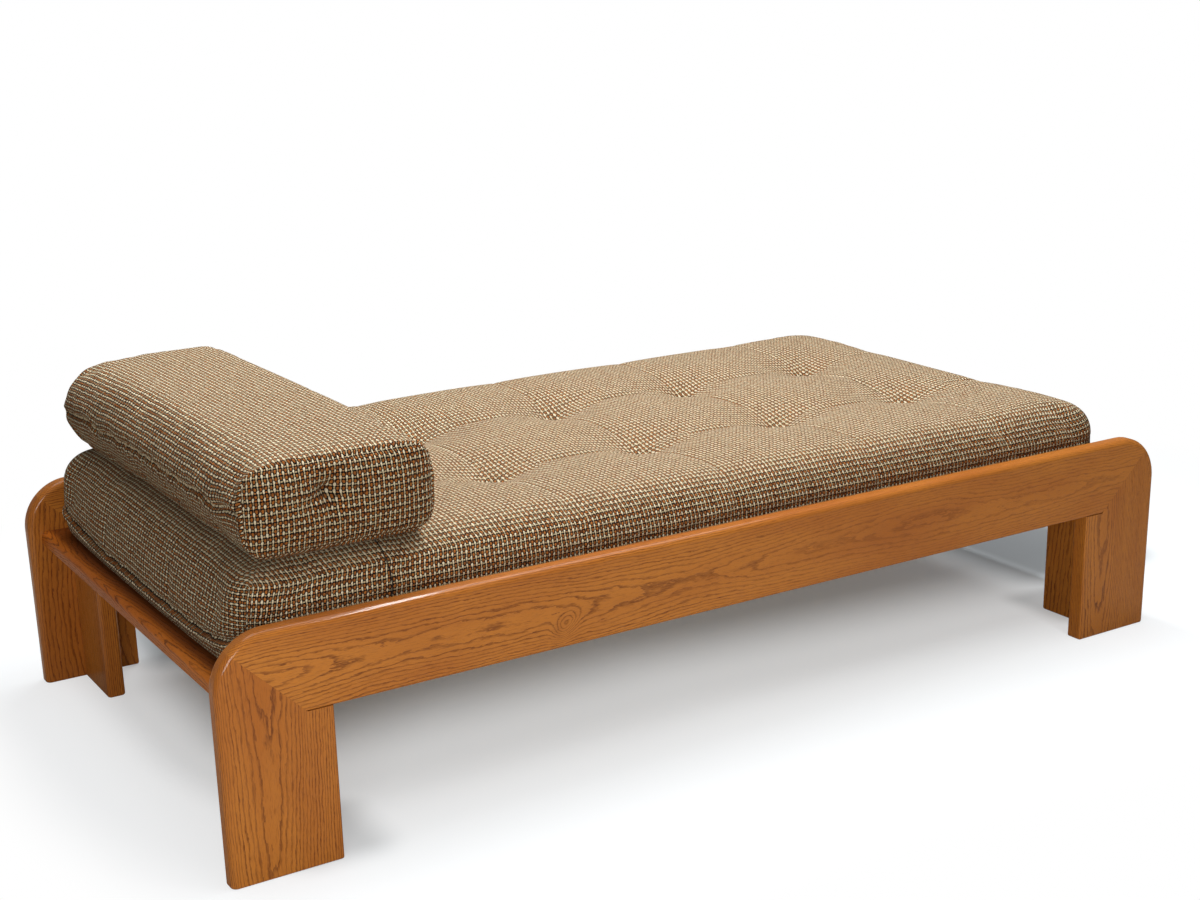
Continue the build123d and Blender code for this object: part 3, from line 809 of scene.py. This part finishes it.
def bolster():
    """Bolster: a bar of rounded section that bulges between two sewn-in end panels.

    Bulges follow a flat-topped curve along the bar; the rims of the panels and the long seam
    half-way up the outer side lie in grooves, and a tuft pulls in the middle of each panel.
    """
    low = np.array([panel_low[0], -panel_y, panel_low[1]])
    high = np.array([panel_high[0], panel_y, panel_high[1]])
    middle = (high + low) / 2
    body = (high - low) / 2
    rim_lines = body[1] - np.array([0.012, 0.004])
    near_tuft = end_tuft_x + np.array([-0.012, -0.005, 0.0, 0.005, 0.012])
    near_seam = (-0.010, -0.004, 0.0, 0.004, 0.010, 0.014, end_tuft_z, 0.023)
    points, faces, sides = box_lattice(
        lines(-body[0], body[0], 0.010, near_tuft),
        lines(-body[1], body[1], 0.012, np.concatenate([-rim_lines, rim_lines])),
        lines(-body[2], body[2], 0.009, near_seam),
    )
    x, y, z = points.T
    near_front = np.clip((y + body[1]) / 0.16, 0.0, 1.0)
    near_back = np.clip((body[1] - y) / 0.16, 0.0, 1.0)
    opened = np.sqrt(1 - (1 - near_front) ** 2)
    rounder = np.where(x < 0, soft_corner, panel_corner + 0.006 * near_back)
    corner = panel_corner + (rounder - panel_corner) * opened
    section = round_plan(points[:, [0, 2]], body[[0, 2]], corner)
    shaped = np.stack([section[:, 0], points[:, 1], section[:, 1]], axis=1)
    cloth = bolster_map(section, corner, y, faces, sides, body)
    along = 1 - np.abs(y / body[1]) ** 7
    reach = np.abs(section) / body[[0, 2]]
    crown_side = np.where(x > 0, crown_right, crown_left)
    crown_base = middle[2] - body[2] - bolster_low[2] + 0.004
    crown_cap = np.where(z > 0, crown_top, crown_base)
    shaped[:, 0] += np.sign(x) * crown_side * along * reach[:, 0] ** 3 * (1 - reach[:, 1] ** 2)
    shaped[:, 2] += np.sign(z) * crown_cap * along * reach[:, 1] ** 3 * (1 - reach[:, 0] ** 4)
    on_panel = np.isclose(np.abs(y), body[1])
    rim = np.isclose(np.max(np.abs(points[:, [0, 2]]) / body[[0, 2]], axis=1), 1.0)
    bulge = end_bulge * (1 - np.abs(x / body[0]) ** 4) * (1 - np.abs(z / body[2]) ** 4)
    from_tuft_x, from_tuft_z = x - end_tuft_x, z - end_tuft_z
    far, angle = np.hypot(from_tuft_x, from_tuft_z), np.arctan2(from_tuft_z, from_tuft_x)
    hollow = end_tuft_depth * tent(far, end_tuft_reach)
    folds = np.cos(5 * angle + 1.0) * bell(far - end_fold_ring, end_fold_reach)
    hollow = hollow + end_fold_depth * folds
    shaped[:, 1] += np.where(on_panel, np.sign(y) * (bulge - hollow), 0.0)
    droop = np.clip((y - 0.05) / (body[1] - 0.05), 0, 1) ** 1.5 * np.clip(-x / body[0], 0, 1)
    shaped[:, 2] -= back_droop * droop
    shaped[:, 2] = np.maximum(shaped[:, 2], bolster_low[2] - middle[2])
    obj = mesh_object("bolster_cushion", shaped + middle, faces, cloth)

    on_side = np.isclose(x, -body[0]) & (np.abs(y) < body[1] - 0.006)
    held = np.where(on_panel & rim, 1.0, 0.0)
    held = np.where(on_panel & (far < 0.004), 1.0, held)
    held = np.where(on_side & (np.abs(z) < 0.002), 0.5, held)
    held = np.where(shaped[:, 2] < bolster_low[2] - middle[2] + 0.003, 1.0, held)
    settle(obj, held, limit=bolster_give, growth=bolster_growth)

    spots = vertex_places(obj)
    at_rim = on_panel & rim
    centre = middle[[0, 2]]
    inward = 1 - seam_groove / np.hypot(*(spots[:, [0, 2]] - centre).T)
    spots[:, 0] = np.where(at_rim, centre[0] + (spots[:, 0] - centre[0]) * inward, spots[:, 0])
    spots[:, 2] = np.where(at_rim, centre[1] + (spots[:, 2] - centre[1]) * inward, spots[:, 2])
    spots[:, 1] -= np.where(at_rim, np.sign(y) * seam_groove * 0.5, 0.0)
    near_rim = bell(np.abs(y) - body[1], 0.018) * (~on_panel)
    ruffle = smooth_noise(points[:, 0] * 2.0, points[:, 2] * 2.0, seed=8, low=60, high=160)
    spots[:, 0] += rim_ruffle * ruffle * near_rim * reach[:, 0]
    spots[:, 2] += rim_ruffle * ruffle * near_rim * reach[:, 1]
    pucker = smooth_noise(y, 0 * y, seed=9, low=110, high=420)
    seam = side_seam_depth * bell(z, 0.0052) - side_seam_lip * bell(z - 0.020, 0.013)
    seam = seam + side_seam_pucker * pucker * bell(z, 0.018)
    seam = seam + side_seam_slope * np.clip(-z / 0.03, 0.0, 1.0) * reach[:, 0]
    spots[:, 0] += np.where(on_side, seam, 0.0)
    wander = smooth_noise(y, 0 * y, seed=12, low=14, high=60)
    wander = side_seam_wander * wander * bell(z, 0.030) * (1 - near_rim)
    spots[:, 2] += np.where(on_side, wander, 0.0)
    spots[:, 2] = np.maximum(spots[:, 2], bolster_low[2])
    place_vertices(obj, spots)
    mark_upward(obj)
    seam = spots[on_side & (np.abs(z) < 0.002)]
    subdivide(obj)
    return obj, seam[np.argsort(seam[:, 1])]


def bolster_map(section, corner, along, faces, sides, body):
    """Cloth places in metres: wrapped round the bar, and flat on the end panels.

    On a rounded edge a place moves by the length of the arc.
    """
    core = body[[0, 2]] - corner[:, None]
    fixed = np.clip(section, -core, core)
    off = section - fixed
    lean_x = np.arctan2(off[:, 0], np.maximum(np.abs(off[:, 1]), 1e-6))
    lean_z = np.arctan2(off[:, 1], np.maximum(np.abs(off[:, 0]), 1e-6))
    run_x = (fixed[:, 0] + corner * lean_x)[faces]
    run_z = (fixed[:, 1] + corner * lean_z)[faces]
    quarter = (core.sum(axis=1) + corner * np.pi / 2)[faces]
    axis = sides[:, 0][:, None]
    end = (2 * sides[:, 1] - 1)[:, None]
    across = np.where(axis == 0, end * (quarter - run_z), run_x)
    across = np.where((axis == 2) & (end < 0), 2 * quarter - run_x, across)
    across = np.where(axis == 1, section[:, 0][faces], across)
    down = np.where(axis == 1, section[:, 1][faces], along[faces])
    return np.stack([across, down], axis=-1)


def stitches(seam):
    """Slanting stitches along the bolster's long seam, given as points in order of Y.

    Each stitch is a thin half-hoop: a circle swept along an arch that dives into the cloth
    at both ends.
    """
    reach = panel_y - 0.05
    starts = np.arange(-reach, reach, stitch_pitch)
    bend = np.linspace(0, np.pi, 7)
    turn = np.linspace(0, 2 * np.pi, 6, endpoint=False)
    path = np.stack([np.sin(bend), np.cos(bend), np.cos(bend)], axis=1)
    path *= (-stitch_arch, stitch_half_length, -stitch_slant)
    ahead = np.gradient(path, axis=0)
    ahead /= np.linalg.norm(ahead, axis=1)[:, None]
    aside = np.cross(ahead, (1.0, 0.0, 0.0))
    aside /= np.linalg.norm(aside, axis=1)[:, None]
    out = np.cross(aside, ahead)
    ring = np.cos(turn)[:, None, None] * aside + np.sin(turn)[:, None, None] * out
    tube = (path + thread_radius * ring).transpose(1, 0, 2).reshape(-1, 3)
    wide = turn.size
    i, j = np.meshgrid(np.arange(bend.size - 1), np.arange(wide), indexing="ij")
    i, j = i.ravel(), j.ravel()
    skip = (j + 1) % wide
    quads = np.stack(
        [i * wide + j, (i + 1) * wide + j, (i + 1) * wide + skip, i * wide + skip], axis=1
    )
    out_x = np.interp(starts, seam[:, 1], seam[:, 0]) - stitch_stand
    up_z = np.interp(starts, seam[:, 1], seam[:, 2])
    shift = np.stack([out_x, starts, up_z], axis=1)
    points = (tube[None] + shift[:, None]).reshape(-1, 3)
    faces = (quads[None] + (np.arange(starts.size) * len(tube))[:, None, None]).reshape(-1, 4)
    return mesh_object("bolster_stitches", points, faces)


# ==== studio ====
def area_lamp(name, place, aim, size, power):
    """Rectangular lamp at a place, turned to its aim."""
    data = bpy.data.lights.new(name, "AREA")
    data.shape = "RECTANGLE"
    data.size, data.size_y = size
    data.energy = power
    lamp = bpy.data.objects.new(name, data)
    lamp.location = place
    lamp.rotation_euler = (Vector(aim) - Vector(place)).to_track_quat("-Z", "Y").to_euler()
    bpy.context.collection.objects.link(lamp)


def far_outside(graph, x, y, across, along):
    """How far a place is outside a rectangle, 0 inside it."""
    total = 0.0
    for value, (low, high) in ((x, across), (y, along)):
        out = graph.math("MAXIMUM", graph.less(low, value), graph.less(value, high))
        out = graph.math("MAXIMUM", out, 0.0)
        total = graph.add(total, graph.times(out, out))
    return graph.math("SQRT", total)


def studio():
    """White world, a pale floor that keeps the bed's shadow, and soft lamps."""
    world = bpy.data.worlds.new("studio")
    bpy.context.scene.world = world
    world.use_nodes = True
    graph = Graph(world.node_tree)
    dim = world.node_tree.nodes["Background"]
    white = graph.node("ShaderNodeBackground")
    for background, strength in ((dim, world_strength), (white, 1.0)):
        background.inputs["Color"].default_value = (1.0, 1.0, 1.0, 1.0)
        background.inputs["Strength"].default_value = strength
    mix = graph.node("ShaderNodeMixShader")
    graph.feed(mix.inputs[0], graph.node("ShaderNodeLightPath").outputs["Is Camera Ray"])
    graph.feed(mix.inputs[1], dim.outputs[0])
    graph.feed(mix.inputs[2], white.outputs[0])
    graph.feed(world.node_tree.nodes["World Output"].inputs["Surface"], mix.outputs[0])

    corners = np.array([[-1, -1, 0], [1, -1, 0], [1, 1, 0], [-1, 1, 0]]) * floor_reach
    floor = mesh_object("studio_floor", corners, np.array([[0, 1, 2, 3]]))
    material, graph, shader = new_material("pale_floor")
    shader["Roughness"].default_value = 0.9
    shader["Specular IOR Level"].default_value = 0.1
    seen = graph.node("ShaderNodeLightPath").outputs["Is Camera Ray"]
    place = graph.node("ShaderNodeTexCoord").outputs["Object"]
    x, y, _ = graph.split(place)
    shade = 0.0
    for low_x, high_x, low_y, high_y, soft_edge, strength in shaded_spots:
        off = far_outside(graph, x, y, (low_x, high_x), (low_y, high_y))
        spot = graph.step(off, 0.0, soft_edge, strength, 0.0)
        shade = graph.math("MAXIMUM", shade, spot)
    lit = graph.mix(shade, (0.90, 0.96, 1.0, 1.0), (0.0, 0.0, 0.0, 1.0))
    graph.feed(shader["Base Color"], graph.mix(seen, (0.48, 0.44, 0.38, 1.0), lit))
    # past the left end the distance counts twice
    further = graph.math("MINIMUM", graph.less(x, shadow_x[0]), 0.0)
    y = graph.add(y, graph.times(graph.math("MAXIMUM", x, 0.0), shadow_slant))
    off = far_outside(graph, graph.add(x, further), y, shadow_x, shadow_y)
    fade = graph.step(off, -0.03, 0.30, 0.08, 0.51)
    fade = graph.add(fade, graph.step(off, 0.30, 0.50, 0.0, 0.17))
    fade = graph.add(fade, graph.step(off, 0.65, 1.05, 0.0, 0.32))
    fade = graph.times(fade, graph.less(1.0, shade))
    glow = graph.node("ShaderNodeEmission")
    glow.inputs["Strength"].default_value = 1.0
    mix = graph.node("ShaderNodeMixShader")
    graph.feed(mix.inputs[0], graph.times(seen, fade))
    graph.feed(mix.inputs[1], material.node_tree.nodes["Principled BSDF"].outputs[0])
    graph.feed(mix.inputs[2], glow.outputs[0])
    graph.feed(material.node_tree.nodes["Material Output"].inputs["Surface"], mix.outputs[0])
    floor.data.materials.append(material)

    area_lamp("overhead_box", (0.05, 0.2, 3.0), (0.0, 0.0, 0.3), (3.6, 2.0), 74.0)
    area_lamp("overhead_strip", (0.45, 0.0, 3.0), (0.0, 0.0, 0.3), (4.6, 0.22), 99.0)
    area_lamp("front_fill", (-1.9, -2.4, 0.9), (-0.4, -0.5, 0.3), (0.9, 0.9), 25.0)


def camera():
    """Camera from its place, angles and picture centre."""
    data = bpy.data.cameras.new("camera")
    data.sensor_width = sensor_width
    data.lens = lens_pixels / picture_width * sensor_width
    data.shift_x = (picture_width / 2 - centre_pixel[0]) / picture_width
    data.shift_y = (centre_pixel[1] - picture_height / 2) / picture_width
    obj = bpy.data.objects.new("camera", data)
    azimuth, elevation, roll = np.radians([camera_azimuth, camera_elevation, camera_roll])
    forward = Vector(
        (
            np.sin(azimuth) * np.cos(elevation),
            np.cos(azimuth) * np.cos(elevation),
            -np.sin(elevation),
        )
    )
    level = forward.to_track_quat("-Z", "Y")
    turn = level @ Quaternion((0.0, 0.0, 1.0), roll)
    obj.location = camera_place
    obj.rotation_euler = turn.to_euler()
    bpy.context.collection.objects.link(obj)
    bpy.context.scene.camera = obj


# ==== finishes ====
def dress(material, *names):
    """Give CAD nodes one material."""
    for name in names:
        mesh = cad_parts[name].data
        mesh.materials.clear()
        mesh.materials.append(material)


def tones(pale, warm, dark):
    """The three tones of a timber, from screen values."""
    return {"Pale": colour(*pale), "Warm": colour(*warm), "Dark": colour(*dark)}


def finish_timber():
    """Oak, slat and joinery finishes, each with the grain along its own piece."""
    grain = make_wood_grain()
    oak = tones((197, 123, 47), (177, 103, 37), (96, 43, 14))
    dark_oak = tones((196, 112, 34), (176, 94, 26), (80, 34, 11))
    pine = tones((222, 196, 150), (208, 176, 126), (168, 126, 80))
    beech = tones((214, 178, 134), (200, 160, 116), (160, 116, 78))
    plain = {
        "Ring": 0.0036,
        "Wander": 0.05,
        "Knot_along": 9.0,
        "Knot_across": 0.0,
        "Knot_lift": 0.0,
        "Plainer": 0.0,
    }
    straight = dict(plain, Wander=0.015)
    knotted = dict(
        plain,
        Knot_along=rail_knot[0],
        Knot_across=rail_knot[1] - rail_middle,
        Knot_lift=-0.015,
        Plainer=0.45,
    )
    # painted shade: on lacquered oak the faces that look upward darken toward the dark tone
    lacquer = {"roughness": 0.36, "coat": 0.45, "bump": 0.0004, "PaintedShade": 0.28}
    # painted shadow of the mattress on the end boards, darker inward on every face
    satin = dict(lacquer, coat=0.08, PaintedShade=0.72, sheltered=board_painted_shadow)
    bare = {"roughness": 0.55, "coat": 0.0, "bump": 0.0002, "PaintedShade": 0.0}
    slats = [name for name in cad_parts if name.startswith("slat_") and name != "slat_screws"]
    inner_legs = [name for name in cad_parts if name.endswith("_inner_leg")]
    end_boards = ("left_end_board", "right_end_board")
    joinery = ("mitre_tongues", "leg_dowels", "end_board_dowels")

    def finish(name, order, offset, kinds, pith, swing, pieces):
        """One wood finish; kinds are its surface, tones and growth."""
        values = {key: value for kind in kinds for key, value in kind.items()}
        dress(wood(name, grain, order, offset, Pith=pith, Swing=swing, **values), *pieces)

    finish(
        "oak_front_rail", "xzy", (0.0, -rail_middle, 0.0),
        (lacquer, oak, knotted), 0.565, 0.07, ("front_rail",),
    )
    finish(
        "oak_back_rail", "xzy", (4.0, -rail_middle, 0.0),
        (lacquer, oak, plain), -0.43, 0.07, ("back_rail",),
    )
    finish(
        "oak_legs", "zxy", (0.0, 0.93, 0.0),
        (lacquer, oak, plain), 0.57, 0.07, ("front_left_leg",),
    )
    finish(
        "oak_right_leg", "zxy", (2.3, -0.86, 0.0),
        (lacquer, oak, plain), 0.57, 0.07, ("front_right_leg",),
    )
    finish(
        "oak_back_legs", "zxy", (4.0, 0.62, 0.0),
        (lacquer, oak, plain), 0.40, 0.07, ("back_left_leg", "back_right_leg"),
    )
    finish(
        "oak_inner_legs", "zyx", (2.0, 0.0, 0.0),
        (lacquer, oak, straight), 0.2, 0.02, inner_legs,
    )
    finish(
        "oak_end_boards", "yxz", (6.0, 0.9, 0.0),
        (satin, dark_oak, plain), -0.2, 0.1, end_boards,
    )
    origin = (0.0, 0.0, 0.0)
    finish("slat_pine", "yxz", origin, (bare, pine, plain), 0.1, 0.1, slats)
    finish(
        "ledger_pine", "xyz", origin,
        (bare, pine, plain), 0.1, 0.1, ("front_ledger", "back_ledger"),
    )
    finish("joinery_beech", "yxz", origin, (bare, beech, plain), 0.1, 0.1, joinery)


def finish_screws():
    """Zinc-plated steel with fine turning marks."""
    material, graph, shader = new_material("zinc_screws")
    place = graph.node("ShaderNodeTexCoord").outputs["Object"]
    cloud = graph.noise(place, 300.0, 3.0)
    tone = graph.mix(cloud, colour(150, 152, 155), colour(190, 191, 190))
    graph.feed(shader["Base Color"], tone)
    graph.feed(shader["Roughness"], graph.step(cloud, 0.2, 0.8, 0.28, 0.45))
    graph.feed(shader["Normal"], bumped(graph, cloud, 0.0001))
    shader["Metallic"].default_value = 1.0
    dress(material, "slat_screws", "end_board_screws", "ledger_screws")


def finish_cushions():
    """Tweed cushions in place of the plain soft solids."""
    weave = make_tweed_weave()
    cloths = {
        "mattress_cushion": tweed("tweed", weave, painted_gap_strength=0.9),
        "bolster_cushion": tweed("bolster_tweed", weave),
    }
    pad = mattress()
    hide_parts("mattress_cover", "mattress_core", "mattress_ties", "mattress_zip")
    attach(pad, "mattress")
    roll, seam = bolster()
    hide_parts("bolster_cover", "bolster_core", "bolster_ties", "bolster_zip")
    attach(roll, "bolster")
    thread = stitches(seam)
    thread.data.materials.append(sewing_thread("sewing_thread"))
    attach(thread, "bolster")
    for piece in (pad, roll):
        piece.data.materials.append(cloths[piece.name])


finish_timber()
finish_screws()
finish_cushions()
studio()
camera()
bpy.context.scene.view_settings.view_transform = "Standard"
